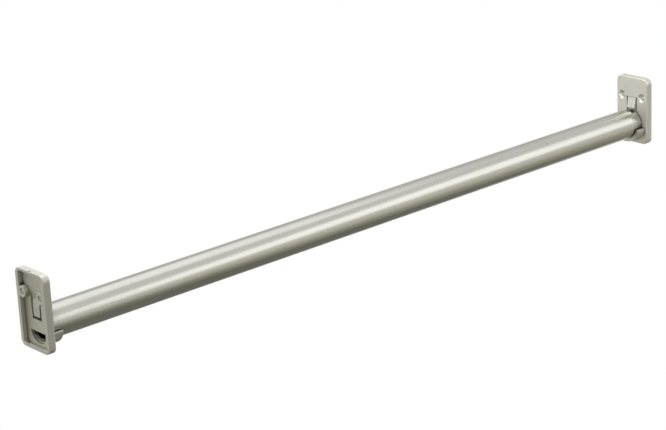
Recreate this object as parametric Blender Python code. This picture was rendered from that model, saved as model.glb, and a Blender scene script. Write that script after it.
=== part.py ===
"""Adjustable closet rod: two telescoping tubes that lie in a pair of wall brackets with spring latches.

Lengths are metres. The origin lies on the left wall, in the middle of the left bracket's lower rim.
+X runs along the rod to the right wall, +Y into the closet's depth and +Z up.
"""
import math

import bmesh
import bpy
from mathutils import Vector

MM = 0.001

# Rod
CLOSED_SPAN = 762 * MM              # wall to wall with the tubes pushed together
OUTER_TUBE_DIAMETER = 30 * MM
OUTER_TUBE_WALL = 1.0 * MM
INNER_TUBE_WALL = 1.0 * MM
TUBE_CLEARANCE = 0.5 * MM           # between the two tubes, on the radius
MOUTH_CLEARANCE = 0.35 * MM         # between the rolled-in mouth and the inner tube, on the radius
MOUTH_LAND = 1.0 * MM               # length of the narrow stretch inside the mouth
TUBE_EDGE_ROUND = 0.25 * MM
INNER_TUBE_SETBACK = 45 * MM        # hidden end of the inner tube, from the outer tube's left end
TUBE_END_GAP = 0.8 * MM             # between a tube's end and the plate that faces it
MOUTH_GAP = 2.2 * MM                # between the mouth and the right saddle in the closed rod

# Bracket plate
PLATE_WIDTH = 41 * MM
PLATE_HEIGHT = 70 * MM
PLATE_THICKNESS = 7.2 * MM
PLATE_CORNER = 6 * MM
PLATE_EDGE_ROUND = 1.2 * MM
SIDE_RIM = 3.9 * MM
END_RIM = 2.4 * MM                  # at the top and the bottom
RECESS_DEPTH = 4.2 * MM
RECESS_CORNER = 2.4 * MM
NOTCH_WIDTH = 2.4 * MM              # centre mark on the top rim
NOTCH_DEPTH = 0.6 * MM
NOTCH_REACH = 2.2 * MM

# Screw holes
HOLE_SPACING = 26 * MM
HOLE_DROP = 20.8 * MM               # from the plate's top edge
HOLE_DIAMETER = 5.6 * MM
COUNTERSINK_DIAMETER = 9.4 * MM
COUNTERSINK_ANGLE = math.radians(90)
BOSS_WALL = 2.4 * MM

# Saddle
SADDLE_SEAT_GAP = 0.3 * MM          # under a tube that lies in its channel
SADDLE_PLAY = 0.9 * MM              # how much larger the channel's radius is than the tube's
SADDLE_WALL = 2.7 * MM              # at the channel of the outer tube
SADDLE_REACH = 10.4 * MM            # from the plate's room face
SADDLE_ARM_DROP = 3.9 * MM          # tops of the two arms, below the rod's axis
SADDLE_ROOT = 0.6 * MM              # how far the saddle runs into the plate
SADDLE_EDGE_ROUND = 0.5 * MM
SADDLE_MARGIN = 2.9 * MM            # from the saddle's underside to the plate's lower edge

# Half-moon window under the rod's axis
WINDOW_RADIUS = 11 * MM
WINDOW_DROP = 6.3 * MM

# Spring latch
LATCH_WIDTH = 10.4 * MM             # at the root
LATCH_TIP_WIDTH = 9.2 * MM
LATCH_SLOT = 1.9 * MM               # open slot along each side
LATCH_TIP_SLOT = 2.5 * MM           # open slot under the tip
LATCH_CLEARANCE = 1.0 * MM          # from the ledge to the outer tube's top
LATCH_CATCH = 2.4 * MM              # how far the nose stands out over the tube
LATCH_LIP = 0.7 * MM                # upright front of the nose
LATCH_RAMP = 11 * MM                # from the nose's underside up to the root
LATCH_TAIL = 9 * MM                 # from the nose's underside down to the tip
LATCH_HOLLOW_DEPTH = 0.9 * MM       # cored-out back of the nose
LATCH_HOLLOW_DROP = 4.2 * MM        # from the root down to the hollow's deepest line
LATCH_HOLLOW_END = 10 * MM          # from the root down to the hollow's lower end
LATCH_ROOT_GAP = 0.3 * MM
LATCH_EDGE_ROUND = 0.45 * MM

# Facets
TUBE_STEPS = 96
SADDLE_STEPS = 36
HOLE_STEPS = 32
CORNER_STEPS = 8
ROUND_STEPS = 3
CUT_OVERRUN = 1.0 * MM              # how far a cutter runs past an open face
SAME_POINT = 0.001 * MM             # points closer than this are one point
SMOOTH_ANGLE = math.radians(32)

# Sizes that follow
outer_radius = OUTER_TUBE_DIAMETER / 2
bore_radius = outer_radius - OUTER_TUBE_WALL
inner_radius = bore_radius - TUBE_CLEARANCE
mouth_radius = inner_radius + MOUTH_CLEARANCE
saddle_radius = outer_radius + SADDLE_PLAY + SADDLE_WALL
axis_height = saddle_radius + SADDLE_MARGIN
axis_above_origin = axis_height - END_RIM / 2
plate_bottom = -axis_height
plate_top = PLATE_HEIGHT - axis_height
hole_height = plate_top - HOLE_DROP
boss_radius = HOLE_DIAMETER / 2 + BOSS_WALL
web_thickness = PLATE_THICKNESS - RECESS_DEPTH
latch_ledge = outer_radius + LATCH_CLEARANCE
latch_root = latch_ledge + LATCH_RAMP
latch_tip = latch_ledge - LATCH_TAIL
tube_left_end = PLATE_THICKNESS + TUBE_END_GAP
tube_right_end = CLOSED_SPAN - PLATE_THICKNESS - TUBE_END_GAP
mouth_end = CLOSED_SPAN - PLATE_THICKNESS - SADDLE_REACH - MOUTH_GAP

NICKEL = (0.56, 0.55, 0.50, 1.0)


def clear_scene():
    for item in list(bpy.data.objects):
        bpy.data.objects.remove(item)


def metal(name, roughness):
    material = bpy.data.materials.new(name)
    material.use_nodes = True
    shader = material.node_tree.nodes["Principled BSDF"]
    shader.inputs["Base Color"].default_value = NICKEL
    shader.inputs["Metallic"].default_value = 1.0
    shader.inputs["Roughness"].default_value = roughness
    return material


def add_object(name, mesh_tool, parent):
    """Turns a bmesh into a named object with rounded faces shaded smooth."""
    bmesh.ops.recalc_face_normals(mesh_tool, faces=mesh_tool.faces)
    mesh = bpy.data.meshes.new(name)
    mesh_tool.to_mesh(mesh)
    mesh_tool.free()
    mesh.shade_smooth()
    mesh.set_sharp_from_angle(angle=SMOOTH_ANGLE)
    item = bpy.data.objects.new(name, mesh)
    bpy.context.scene.collection.objects.link(item)
    item.parent = parent
    return item


def add_empty(name, location, turn=0.0, parent=None):
    item = bpy.data.objects.new(name, None)
    bpy.context.scene.collection.objects.link(item)
    item.location = location
    item.rotation_euler = (0, 0, turn)
    item.parent = parent
    return item


def arc(centre, radius, start, end, steps):
    """Points of an arc in the plate's own plane, as (across, up)."""
    angles = [start + (end - start) * step / steps for step in range(steps + 1)]
    return [(centre[0] + radius * math.cos(a), centre[1] + radius * math.sin(a)) for a in angles]


def rounded_rectangle(half_width, bottom, top, radius):
    corners = [
        (half_width - radius, bottom + radius, -90),
        (half_width - radius, top - radius, 0),
        (-half_width + radius, top - radius, 90),
        (-half_width + radius, bottom + radius, 180),
    ]
    outline = []
    for across, up, start in corners:
        outline += arc((across, up), radius, math.radians(start), math.radians(start + 90), CORNER_STEPS)
    return outline


def extruded(outline, start, end):
    """A closed solid: an (across, up) outline drawn along the wall's normal from start to end."""
    solid = bmesh.new()
    base = solid.faces.new([solid.verts.new((start, across, up)) for across, up in outline])
    grown = bmesh.ops.extrude_face_region(solid, geom=[base])
    moved = [part for part in grown["geom"] if isinstance(part, bmesh.types.BMVert)]
    bmesh.ops.translate(solid, verts=moved, vec=Vector((end - start, 0, 0)))
    return solid


def round_edges_at(solid, depth, width):
    """Rounds the edges that lie in the plane at this depth."""
    rim = [edge for edge in solid.edges if all(abs(vert.co.x - depth) < SAME_POINT for vert in edge.verts)]
    bmesh.ops.bevel(solid, geom=rim, offset=width, segments=ROUND_STEPS, profile=0.5, affect="EDGES")


def turned(profile, steps):
    """A closed ring: an (along, radius) profile turned about the rod's axis."""
    ring = bmesh.new()
    verts = [ring.verts.new((along, 0, radius)) for along, radius in profile]
    edges = [ring.edges.new((verts[i], verts[(i + 1) % len(verts)])) for i in range(len(verts))]
    bmesh.ops.spin(ring, geom=verts + edges, cent=(0, 0, 0), axis=(1, 0, 0), angle=2 * math.pi,
                   steps=steps, use_merge=True)
    bmesh.ops.remove_doubles(ring, verts=ring.verts, dist=SAME_POINT)
    return ring


def cone_frustum(place, start, start_radius, end, end_radius):
    """A round cutter or boss along the wall's normal, with its axis through place (across, up)."""
    solid = bmesh.new()
    rings = []
    for depth, radius in ((start, start_radius), (end, end_radius)):
        circle = arc(place, radius, 0, 2 * math.pi, HOLE_STEPS)[:-1]
        rings.append([solid.verts.new((depth, across, up)) for across, up in circle])
    for ring in rings:
        solid.faces.new(ring)
    for i in range(HOLE_STEPS):
        after = (i + 1) % HOLE_STEPS
        solid.faces.new((rings[0][i], rings[0][after], rings[1][after], rings[1][i]))
    return solid


def combine(target, solid, name, operation):
    """Adds or cuts a hidden tool shape with a Boolean that stays on the target."""
    tool = add_object(target.name + "_" + name, solid, target.parent)
    tool.hide_render = True
    tool.display_type = "WIRE"
    change = target.modifiers.new(name, "BOOLEAN")
    change.operation = operation
    change.solver = "EXACT"
    change.object = tool


def make_tube(name, start, end, radius, wall, place, mouth=None):
    """A thin tube. A mouth radius rolls its right end inwards."""
    edge = TUBE_EDGE_ROUND
    bore = radius - wall
    profile = [(start, bore), (start, radius - edge), (start + edge, radius)]
    if mouth is None:
        profile += [(end - edge, radius), (end, radius - edge), (end, bore)]
    else:
        roll = radius - mouth
        quarter = arc((end - roll, mouth), roll, math.pi / 2, 0, 2 * ROUND_STEPS)
        profile += quarter
        profile += [(end - MOUTH_LAND, mouth), (end - MOUTH_LAND - roll, bore)]
    tube = add_object(name, turned(profile, TUBE_STEPS), place)
    tube.data.materials.append(metal(name + "_satin_nickel", 0.3))
    return tube


def saddle_solid(tube_radius):
    """The trough that a tube lies in, cut off level below the rod's axis, with play at the tube's sides."""
    channel_radius = tube_radius + SADDLE_PLAY
    channel_height = SADDLE_PLAY - SADDLE_SEAT_GAP
    outer_start = math.asin(SADDLE_ARM_DROP / saddle_radius)
    inner_start = math.asin((SADDLE_ARM_DROP + channel_height) / channel_radius)
    outline = arc((0, 0), saddle_radius, math.pi + outer_start, 2 * math.pi - outer_start, SADDLE_STEPS)
    outline += arc((0, channel_height), channel_radius, 2 * math.pi - inner_start, math.pi + inner_start,
                   SADDLE_STEPS)
    saddle = extruded(outline, PLATE_THICKNESS - SADDLE_ROOT, PLATE_THICKNESS + SADDLE_REACH)
    round_edges_at(saddle, PLATE_THICKNESS + SADDLE_REACH, SADDLE_EDGE_ROUND)
    return saddle


def latch_half_width(height):
    """The tongue's half width at a height above the rod's axis. It tapers from its root to its tip."""
    share = (latch_root - height) / (latch_root - latch_tip)
    return (LATCH_WIDTH + (LATCH_TIP_WIDTH - LATCH_WIDTH) * share) / 2


def make_bracket(name, tube_radius, place):
    """A plate with a hollow back, screw bosses, latch opening, half-moon window and saddle."""
    half_width = PLATE_WIDTH / 2
    plate = extruded(rounded_rectangle(half_width, plate_bottom, plate_top, PLATE_CORNER), 0, PLATE_THICKNESS)
    round_edges_at(plate, PLATE_THICKNESS, PLATE_EDGE_ROUND)
    bracket = add_object(name, plate, place)

    recess = rounded_rectangle(half_width - SIDE_RIM, plate_bottom + END_RIM, plate_top - END_RIM, RECESS_CORNER)
    combine(bracket, extruded(recess, -CUT_OVERRUN, RECESS_DEPTH), "recess", "DIFFERENCE")

    countersink_depth = (COUNTERSINK_DIAMETER - HOLE_DIAMETER) / 2 / math.tan(COUNTERSINK_ANGLE / 2)
    flare = CUT_OVERRUN * math.tan(COUNTERSINK_ANGLE / 2)
    for side, across in (("back", HOLE_SPACING / 2), ("front", -HOLE_SPACING / 2)):
        centre = (across, hole_height)
        boss = cone_frustum(centre, 0, boss_radius, RECESS_DEPTH + SADDLE_ROOT, boss_radius)
        combine(bracket, boss, side + "_boss", "UNION")
        bore = cone_frustum(centre, -CUT_OVERRUN, HOLE_DIAMETER / 2, PLATE_THICKNESS + CUT_OVERRUN, HOLE_DIAMETER / 2)
        combine(bracket, bore, side + "_hole", "DIFFERENCE")
        sink = cone_frustum(centre, PLATE_THICKNESS - countersink_depth, HOLE_DIAMETER / 2,
                            PLATE_THICKNESS + CUT_OVERRUN, COUNTERSINK_DIAMETER / 2 + flare)
        combine(bracket, sink, side + "_countersink", "DIFFERENCE")

    opening_top = latch_root + LATCH_ROOT_GAP
    opening_bottom = latch_tip - LATCH_TIP_SLOT
    top_half = latch_half_width(opening_top) + LATCH_SLOT
    bottom_half = latch_half_width(opening_bottom) + LATCH_SLOT
    opening = [(-bottom_half, opening_bottom), (bottom_half, opening_bottom),
               (top_half, opening_top), (-top_half, opening_top)]
    web_start = RECESS_DEPTH - CUT_OVERRUN
    combine(bracket, extruded(opening, web_start, PLATE_THICKNESS + CUT_OVERRUN), "latch_opening", "DIFFERENCE")

    window = arc((0, -WINDOW_DROP), WINDOW_RADIUS, math.pi, 2 * math.pi, SADDLE_STEPS)
    combine(bracket, extruded(window, web_start, PLATE_THICKNESS + CUT_OVERRUN), "window", "DIFFERENCE")

    combine(bracket, saddle_solid(tube_radius), "saddle", "UNION")

    notch = [(-NOTCH_WIDTH / 2, plate_top + CUT_OVERRUN), (-NOTCH_WIDTH / 2, plate_top - NOTCH_DEPTH),
             (NOTCH_WIDTH / 2, plate_top - NOTCH_DEPTH), (NOTCH_WIDTH / 2, plate_top + CUT_OVERRUN)]
    combine(bracket, extruded(notch, -CUT_OVERRUN, NOTCH_REACH), "notch", "DIFFERENCE")
    bracket.data.materials.append(metal(name + "_satin_nickel", 0.38))
    return bracket


def lies_on(edge, line):
    """Whether an edge runs along this line of the tongue's profile, on either side of the tongue."""
    ends = [(vert.co.x, vert.co.z) for vert in edge.verts]
    return all(any(math.dist(end, point) < SAME_POINT for end in ends) for point in line)


def make_latch(name, hinge):
    """The spring tongue, drawn about its root line on the web's back. It is as thick as the web, with a wedge
    on its front that ends over the tube's top, a hollow behind the wedge and a tail behind the tube's end."""
    ledge = latch_ledge - latch_root
    tip = latch_tip - latch_root
    nose = web_thickness + LATCH_CATCH
    profile = [
        (web_thickness, 0),
        (nose, ledge + LATCH_LIP),
        (nose, ledge),
        (web_thickness, ledge),
        (web_thickness, tip),
        (0, tip),
        (0, -LATCH_HOLLOW_END),
        (LATCH_HOLLOW_DEPTH, -LATCH_HOLLOW_DROP),
        (0, 0),
    ]
    tongue = bmesh.new()
    base = tongue.faces.new([tongue.verts.new((out, 0, up)) for out, up in profile])
    grown = bmesh.ops.extrude_face_region(tongue, geom=[base])
    far_side = {part for part in grown["geom"] if isinstance(part, bmesh.types.BMVert)}
    for vert in tongue.verts:
        half_width = latch_half_width(latch_root + vert.co.z)
        vert.co.y = half_width if vert in far_side else -half_width
    nose_edges = [edge for edge in tongue.edges if lies_on(edge, profile[0:2]) or lies_on(edge, profile[1:3])]
    bmesh.ops.bevel(tongue, geom=nose_edges, offset=LATCH_EDGE_ROUND, segments=ROUND_STEPS, profile=0.5,
                    affect="EDGES")
    latch = add_object(name, tongue, hinge)
    latch.data.materials.append(metal(name + "_satin_nickel", 0.36))
    return latch


def make_end(side, wall, turn, tube_radius):
    """One end of the rod: a bracket on its wall and the latch on its root line."""
    place = add_empty(side + "_end", (wall, 0, axis_above_origin), turn)
    make_bracket(side + "_bracket", tube_radius, place)
    hinge = add_empty(side + "_latch_root", (RECESS_DEPTH, 0, latch_root), parent=place)
    make_latch(side + "_latch", hinge)


def main():
    clear_scene()
    make_end("left", 0, 0, outer_radius)
    make_end("right", CLOSED_SPAN, math.pi, inner_radius)
    rod_axis = add_empty("rod_axis", (0, 0, axis_above_origin))
    make_tube("outer_tube", tube_left_end, mouth_end, outer_radius, OUTER_TUBE_WALL, rod_axis, mouth_radius)
    make_tube("inner_tube", tube_left_end + INNER_TUBE_SETBACK, tube_right_end, inner_radius,
              INNER_TUBE_WALL, rod_axis)


main()
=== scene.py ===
import math

import bmesh
import bpy
from mathutils import Euler, Matrix, Vector


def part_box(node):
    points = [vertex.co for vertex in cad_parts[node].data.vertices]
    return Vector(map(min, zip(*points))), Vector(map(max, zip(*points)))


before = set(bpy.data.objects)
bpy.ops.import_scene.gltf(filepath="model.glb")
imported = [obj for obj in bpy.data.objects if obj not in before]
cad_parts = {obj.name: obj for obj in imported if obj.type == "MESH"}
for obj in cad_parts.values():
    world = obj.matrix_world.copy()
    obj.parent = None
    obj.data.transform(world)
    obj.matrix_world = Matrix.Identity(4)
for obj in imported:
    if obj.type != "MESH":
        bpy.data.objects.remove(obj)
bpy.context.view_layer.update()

MM = 0.001

# Pieces
TUBES = ("outer_tube", "inner_tube")
MOULDED = ("left_bracket", "right_bracket", "left_latch", "right_latch")

# Edges
MOULD_EDGE = 0.2 * MM
TUBE_EDGE = 0.06 * MM
EDGE_STEPS = 2
EDGE_ANGLE = math.radians(40)
FLAT_ANGLE = math.radians(0.5)
SAME_POINT = 0.001 * MM

# Picture
PHOTO_WIDTH = 666
FOCAL_PIXELS = 2151.6
SENSOR_WIDTH = 36
CAMERA_FROM_AXIS = Vector((-898.4, -1416.7, 658.7)) * MM    # from the rod's axis at the left wall
CAMERA_TURN = math.radians(-41.03)
CAMERA_FALL = math.radians(19.09)
CAMERA_ROLL = math.radians(-2.80)

# Floor, in metres
ROD_HEIGHT = 2.1                 # over the floor, as for a closet's upper rod
FLOOR_RADIUS = 2.6
FLOOR_STEPS = 128
FLOOR_GLOW = 0.3                 # lifts the floor to the white behind it, for the camera alone

# Room: tones by height, from -1 straight down to 1 straight up
PAPER = "#FFFFFF"                # what the camera itself sees behind the rod
DAYLIGHT = "#F6F9FF"
CAMERA_SIDE = "#2E2D29"          # the unlit part of the room, behind the camera
UNDER_CAMERA = Vector((-0.05, -0.8, -0.55))
AMBIENT_TONES = [                # what matt surfaces get
    (-1.0, "#45443D"),
    (-0.1, "#B8B7AA"),
    (0.4, "#E6E6E1"),
]
ROOM_TONES = [                   # what metal mirrors
    (-1.0, "#7D7C6F"),
    (-0.45, "#B5B3A3"),
    (-0.3, "#D7D6CB"),
    (-0.06, "#E5E4DE"),
    (0.6, "#EEEEEF"),
]
BACKDROP_TONES = [               # what metal mirrors of the wall behind the rod
    (0.0, "#FFFFFF"),
    (0.2, "#C0C0BE"),
    (0.4, "#CCCCCA"),
    (0.65, "#EEEEEF"),
]

# Sockets of a Mix node that mixes colours
COLOUR_A = 6
COLOUR_B = 7
COLOUR_RESULT = 2


def linear(colour):
    """An sRGB hex colour as linear RGBA."""
    values = [int(colour[i:i + 2], 16) / 255 for i in (1, 3, 5)]
    return [v / 12.92 if v <= 0.04045 else ((v + 0.055) / 1.055) ** 2.4 for v in values] + [1.0]


def add_node(tree, kind, inputs=None, family="ShaderNode", **settings):
    """Adds a node, with its settings and with values or links on its inputs."""
    node = tree.nodes.new(family + kind)
    for name, value in settings.items():
        setattr(node, name, value)
    for socket, value in (inputs or {}).items():
        if isinstance(value, bpy.types.NodeSocket):
            tree.links.new(value, node.inputs[socket])
        else:
            node.inputs[socket].default_value = value
    return node


def new_material(name):
    material = bpy.data.materials.new(name)
    material.use_nodes = True
    tree = material.node_tree
    return material, tree, tree.nodes["Principled BSDF"]


def satin_nickel_plated_steel():
    """Steel tube, belt-polished along its length and nickel plated: a warm grey mirror, blurred by fine
    lines along the tube, with faint clouds where the polishing belt ran lighter."""
    material, tree, shader = new_material("satin_nickel_plated_steel")
    place = add_node(tree, "TexCoord").outputs["Object"]

    line_width = 0.5 * MM         # real lines are near 0.05 mm; drawn this coarse so that they show
    line_length = 60 * MM
    stretch = (1 / line_length, 1 / line_width, 1 / line_width)
    lines_place = add_node(tree, "Mapping", {"Vector": place, "Scale": stretch}).outputs["Vector"]
    lines = add_node(tree, "TexNoise", {"Vector": lines_place, "Scale": 1.0, "Detail": 2.0})

    cloud_size = 35 * MM
    clouds = add_node(tree, "TexNoise", {"Vector": place, "Scale": 1 / cloud_size, "Detail": 3.0})
    polished = add_node(tree, "Mix", {
        "Factor": clouds.outputs["Fac"],
        COLOUR_A: linear("#C3C1B8"),
        COLOUR_B: linear("#CAC8BF"),
    }, data_type="RGBA")
    # Painted shade: the colour darkens towards a dull grey where other surfaces lie within 12 mm,
    #     # in the bore and at the ends deep in the brackets
    painted_shade_ao = add_node(tree, "AmbientOcclusion", {"Distance": 12 * MM})
    tint = add_node(tree, "Mix", {
        "Factor": painted_shade_ao.outputs["AO"],
        COLOUR_A: linear("#5C5A50"),
        COLOUR_B: polished.outputs[COLOUR_RESULT],
    }, data_type="RGBA")

    gloss = add_node(tree, "MapRange", {
        "Value": lines.outputs["Fac"],
        "From Min": 0.3,
        "From Max": 0.7,
        "To Min": 0.22,
        "To Max": 0.32,
    })
    relief = add_node(tree, "Bump", {
        "Height": lines.outputs["Fac"],
        "Strength": 0.12,
        "Distance": 0.02 * MM,
    })
    tree.links.new(tint.outputs[COLOUR_RESULT], shader.inputs["Base Color"])
    tree.links.new(gloss.outputs["Result"], shader.inputs["Roughness"])
    tree.links.new(relief.outputs["Normal"], shader.inputs["Normal"])
    shader.inputs["Metallic"].default_value = 1.0
    return material


def nickel_coated_moulded_plastic():
    """Moulded ABS with a satin nickel coat: the same warm grey as the tube, but duller, with the fine even
    grain of a blasted mould. Slots, recesses and corners are darkened with painted shade."""
    material, tree, shader = new_material("nickel_coated_moulded_plastic")
    place = add_node(tree, "TexCoord").outputs["Object"]

    grain_size = 0.45 * MM        # real grain is near 0.1 mm; drawn this coarse so that it shows
    grain = add_node(tree, "TexNoise", {"Vector": place, "Scale": 1 / grain_size, "Detail": 2.0})
    cloud_size = 14 * MM
    clouds = add_node(tree, "TexNoise", {"Vector": place, "Scale": 1 / cloud_size, "Detail": 3.0})
    coated = add_node(tree, "Mix", {
        "Factor": clouds.outputs["Fac"],
        COLOUR_A: linear("#CCCABF"),
        COLOUR_B: linear("#D3D1C6"),
    }, data_type="RGBA")
    # Painted shade: where other surfaces lie within 4 mm, the colour darkens towards a near-black grey
    painted_shade_ao = add_node(tree, "AmbientOcclusion", {"Distance": 4 * MM})
    painted_shade_share = add_node(tree, "MapRange", {
        "Value": painted_shade_ao.outputs["AO"],
        "From Min": 0.25,
        "From Max": 0.75,
    })
    tint = add_node(tree, "Mix", {
        "Factor": painted_shade_share.outputs["Result"],
        COLOUR_A: linear("#3A382F"),
        COLOUR_B: coated.outputs[COLOUR_RESULT],
    }, data_type="RGBA")

    gloss = add_node(tree, "MapRange", {
        "Value": grain.outputs["Fac"],
        "From Min": 0.3,
        "From Max": 0.7,
        "To Min": 0.4,
        "To Max": 0.5,
    })
    relief = add_node(tree, "Bump", {
        "Height": grain.outputs["Fac"],
        "Strength": 0.15,
        "Distance": 0.03 * MM,
    })
    tree.links.new(tint.outputs[COLOUR_RESULT], shader.inputs["Base Color"])
    tree.links.new(gloss.outputs["Result"], shader.inputs["Roughness"])
    tree.links.new(relief.outputs["Normal"], shader.inputs["Normal"])
    shader.inputs["Metallic"].default_value = 0.5
    return material


def painted_floor():
    """Matt studio floor paint, grey with a faint mottle from the roller. To the camera it is white paper."""
    material, tree, shader = new_material("painted_floor")
    place = add_node(tree, "TexCoord").outputs["Object"]
    mottle_size = 120 * MM
    mottle = add_node(tree, "TexNoise", {"Vector": place, "Scale": 1 / mottle_size, "Detail": 2.0})
    paint = add_node(tree, "Mix", {
        "Factor": mottle.outputs["Fac"],
        COLOUR_A: linear("#8F8E88"),
        COLOUR_B: linear("#969590"),
    }, data_type="RGBA")
    seen = add_node(tree, "LightPath").outputs["Is Camera Ray"]
    tint = add_node(tree, "Mix", {
        "Factor": seen,
        COLOUR_A: paint.outputs[COLOUR_RESULT],
        COLOUR_B: linear(PAPER),
    }, data_type="RGBA")
    glow = add_node(tree, "Math", {0: seen, 1: FLOOR_GLOW}, operation="MULTIPLY")
    tree.links.new(tint.outputs[COLOUR_RESULT], shader.inputs["Base Color"])
    tree.links.new(glow.outputs["Value"], shader.inputs["Emission Strength"])
    shader.inputs["Emission Color"].default_value = linear(PAPER)
    shader.inputs["Roughness"].default_value = 0.8
    return material


def paint_nodes():
    """Each CAD node gets the finish of its real piece."""
    finishes = {TUBES: satin_nickel_plated_steel(), MOULDED: nickel_coated_moulded_plastic()}
    for names, finish in finishes.items():
        for name in names:
            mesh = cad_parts[name].data
            mesh.materials.clear()
            mesh.materials.append(finish)


def mark_edges():
    """Geometry nodes that mark a piece's outside edges for rounding, and keep its inside corners sharp."""
    tree = bpy.data.node_groups.new("outside_edges", "GeometryNodeTree")
    for way in ("INPUT", "OUTPUT"):
        tree.interface.new_socket("Geometry", in_out=way, socket_type="NodeSocketGeometry")
    geometry = add_node(tree, "GroupInput", family="Node").outputs["Geometry"]
    bend = add_node(tree, "InputMeshEdgeAngle", family="GeometryNode").outputs["Signed Angle"]
    outside = add_node(tree, "Math", {0: bend, 1: EDGE_ANGLE}, operation="GREATER_THAN")
    inside = add_node(tree, "Math", {0: bend, 1: -EDGE_ANGLE}, operation="LESS_THAN")
    marks = (("bevel_weight_edge", "FLOAT", outside), ("sharp_edge", "BOOLEAN", inside))
    for mark, kind, chosen in marks:
        marked = add_node(tree, "StoreNamedAttribute", {
            "Geometry": geometry,
            "Name": mark,
            "Value": chosen.outputs["Value"],
        }, family="GeometryNode", data_type=kind, domain="EDGE")
        geometry = marked.outputs["Geometry"]
    add_node(tree, "GroupOutput", {"Geometry": geometry}, family="Node")
    return tree


def add_modifier(piece, kind, **settings):
    modifier = piece.modifiers.new(kind.lower(), kind)
    for name, value in settings.items():
        setattr(modifier, name, value)


def round_edges():
    """Gives brackets and latches the small edge radius that a mould leaves, and the tubes a broken edge."""
    edge_marks = mark_edges()
    for name in MOULDED:
        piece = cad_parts[name]
        add_modifier(piece, "WELD", merge_threshold=SAME_POINT)
        add_modifier(piece, "DECIMATE", decimate_type="DISSOLVE", angle_limit=FLAT_ANGLE)
        add_modifier(piece, "NODES", node_group=edge_marks)
        add_modifier(piece, "BEVEL", width=MOULD_EDGE, segments=EDGE_STEPS, limit_method="WEIGHT",
                     use_clamp_overlap=False, miter_outer="MITER_ARC")
        add_modifier(piece, "WELD", merge_threshold=SAME_POINT)
        add_modifier(piece, "WEIGHTED_NORMAL", keep_sharp=True)
    for name in TUBES:
        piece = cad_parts[name]
        add_modifier(piece, "WELD", merge_threshold=SAME_POINT)
        add_modifier(piece, "BEVEL", width=TUBE_EDGE, segments=EDGE_STEPS, limit_method="ANGLE",
                     angle_limit=EDGE_ANGLE, use_clamp_overlap=False)
        add_modifier(piece, "WEIGHTED_NORMAL", keep_sharp=False)


def rod_middle():
    low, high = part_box("outer_tube")
    return (low + high) / 2


def make_camera():
    data = bpy.data.cameras.new("photo_camera")
    data.sensor_width = SENSOR_WIDTH
    data.lens = SENSOR_WIDTH * FOCAL_PIXELS / PHOTO_WIDTH
    camera = bpy.data.objects.new("photo_camera", data)
    bpy.context.scene.collection.objects.link(camera)
    camera.location = Vector((0, 0, rod_middle().z)) + CAMERA_FROM_AXIS
    level = Euler((math.pi / 2 - CAMERA_FALL, 0, CAMERA_TURN)).to_matrix()
    camera.rotation_euler = (level @ Matrix.Rotation(CAMERA_ROLL, 3, "Z")).to_euler()
    bpy.context.scene.camera = camera


def make_floor():
    disc = bmesh.new()
    bmesh.ops.create_circle(disc, cap_ends=True, segments=FLOOR_STEPS, radius=FLOOR_RADIUS)
    mesh = bpy.data.meshes.new("floor")
    disc.to_mesh(mesh)
    disc.free()
    floor = bpy.data.objects.new("floor", mesh)
    bpy.context.scene.collection.objects.link(floor)
    floor.location = rod_middle() - Vector((0, 0, ROD_HEIGHT))
    mesh.materials.append(painted_floor())


def add_tones(tree, height, tones):
    """Colours of the room by height, from -1 straight down to 1 straight up."""
    share = add_node(tree, "MapRange", {"Value": height, "From Min": -1.0, "From Max": 1.0})
    ramp = add_node(tree, "ValToRGB", {"Fac": share.outputs["Result"]})
    stops = ramp.color_ramp.elements
    while len(stops) < len(tones):
        stops.new(0.5)
    for stop, (level, tone) in zip(stops, tones):
        stop.position = (level + 1) / 2
        stop.color = linear(tone)
    return ramp.outputs["Color"]


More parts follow.
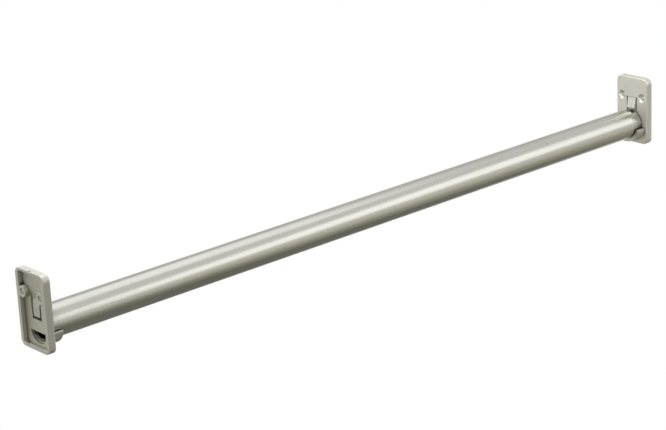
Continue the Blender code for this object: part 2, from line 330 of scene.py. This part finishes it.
def make_room():
    """A white backdrop behind the rod, in a pale room over a warm floor, unlit behind the camera."""
    world = bpy.data.worlds.new("studio_room")
    world.use_nodes = True
    bpy.context.scene.world = world
    tree = world.node_tree
    towards = add_node(tree, "TexCoord").outputs["Generated"]
    height = add_node(tree, "SeparateXYZ", {"Vector": towards}).outputs["Z"]

    # What metal mirrors
    back = (math.sin(-CAMERA_TURN), math.cos(CAMERA_TURN), 0)
    facing = add_node(tree, "VectorMath", {0: towards, 1: back}, operation="DOT_PRODUCT").outputs["Value"]
    behind_rod = add_node(tree, "MapRange", {
        "Value": facing,
        "From Min": 0.55,
        "From Max": 0.85,
    }, interpolation_type="SMOOTHSTEP")
    sinking = add_node(tree, "VectorMath", {
        0: towards,
        1: UNDER_CAMERA.normalized(),
    }, operation="DOT_PRODUCT")
    under_camera = add_node(tree, "MapRange", {
        "Value": sinking.outputs["Value"],
        "From Min": 0.74,
        "From Max": 0.95,
    }, interpolation_type="SMOOTHSTEP")
    lit_room = add_node(tree, "Mix", {
        "Factor": under_camera.outputs["Result"],
        COLOUR_A: add_tones(tree, height, ROOM_TONES),
        COLOUR_B: linear(CAMERA_SIDE),
    }, data_type="RGBA")
    studio = add_node(tree, "Mix", {
        "Factor": behind_rod.outputs["Result"],
        COLOUR_A: lit_room.outputs[COLOUR_RESULT],
        COLOUR_B: add_tones(tree, height, BACKDROP_TONES),
    }, data_type="RGBA")

    # What matt surfaces get
    open_side = add_node(tree, "MapRange", {"Value": facing, "From Min": -1.4, "From Max": 0.1})
    matt = add_node(tree, "Mix", {
        "Factor": open_side.outputs["Result"],
        COLOUR_A: linear(CAMERA_SIDE),
        COLOUR_B: add_tones(tree, height, AMBIENT_TONES),
    }, data_type="RGBA")

    path = add_node(tree, "LightPath")
    mirror = add_node(tree, "Math", {
        0: path.outputs["Is Glossy Ray"],
        1: path.outputs["Is Transmission Ray"],
    }, operation="MAXIMUM")
    given = add_node(tree, "Mix", {
        "Factor": mirror.outputs["Value"],
        COLOUR_A: matt.outputs[COLOUR_RESULT],
        COLOUR_B: studio.outputs[COLOUR_RESULT],
    }, data_type="RGBA")
    light = add_node(tree, "Mix", {
        "Factor": path.outputs["Is Camera Ray"],
        COLOUR_A: given.outputs[COLOUR_RESULT],
        COLOUR_B: linear(PAPER),
    }, data_type="RGBA")
    tree.links.new(light.outputs[COLOUR_RESULT], tree.nodes["Background"].inputs["Color"])


def add_softbox(name, place, target, width, height, brightness, beam=math.pi, lights_only=None):
    """A rectangular lamp, with a grid if its beam is narrow, placed from the middle of the rod. Its
    brightness is that of its front, where a white sheet in full light is 1."""
    data = bpy.data.lights.new(name, "AREA")
    data.shape = "RECTANGLE"
    data.size = width
    data.size_y = height
    data.spread = beam
    data.energy = brightness * math.pi * width * height
    data.color = linear(DAYLIGHT)[:3]
    lamp = bpy.data.objects.new(name, data)
    bpy.context.scene.collection.objects.link(lamp)
    lamp.location = rod_middle() + Vector(place)
    lamp.rotation_euler = (Vector(target) - Vector(place)).to_track_quat("-Z", "Y").to_euler()
    lamp.visible_camera = False
    lamp.light_linking.receiver_collection = lights_only


def make_lamps():
    add_softbox("front_strip", place=(0.99, -1.06, 0.6), target=(0, 0, 0), width=1.3, height=0.75,
                brightness=0.9)
    add_softbox("overhead_box", place=(0.35, 0.43, 1.0), target=(0.35, 0.43, 0), width=1.0, height=1.05,
                brightness=0.62)
    add_softbox("side_card", place=(-0.375, 0.64, -0.12), target=(0, 0, 0), width=0.45, height=0.45,
                brightness=0.9)

    # The strong lamps are flagged off the tubes, where their image would burn out
    moulded = bpy.data.collections.new("moulded_pieces")
    for name in MOULDED:
        moulded.objects.link(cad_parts[name])
    add_softbox("key_box", place=(-0.4, 0.3, 1.2), target=(0, 0, 0), width=0.6, height=0.6,
                brightness=9.7, lights_only=moulded)
    add_softbox("end_fill", place=(-0.05, -0.65, 0.1), target=(0.37, 0, 0), width=0.2, height=0.2,
                brightness=0.52, beam=math.radians(30), lights_only=moulded)


bpy.context.scene.view_settings.view_transform = "Standard"
paint_nodes()
round_edges()
make_camera()
make_floor()
make_room()
make_lamps()
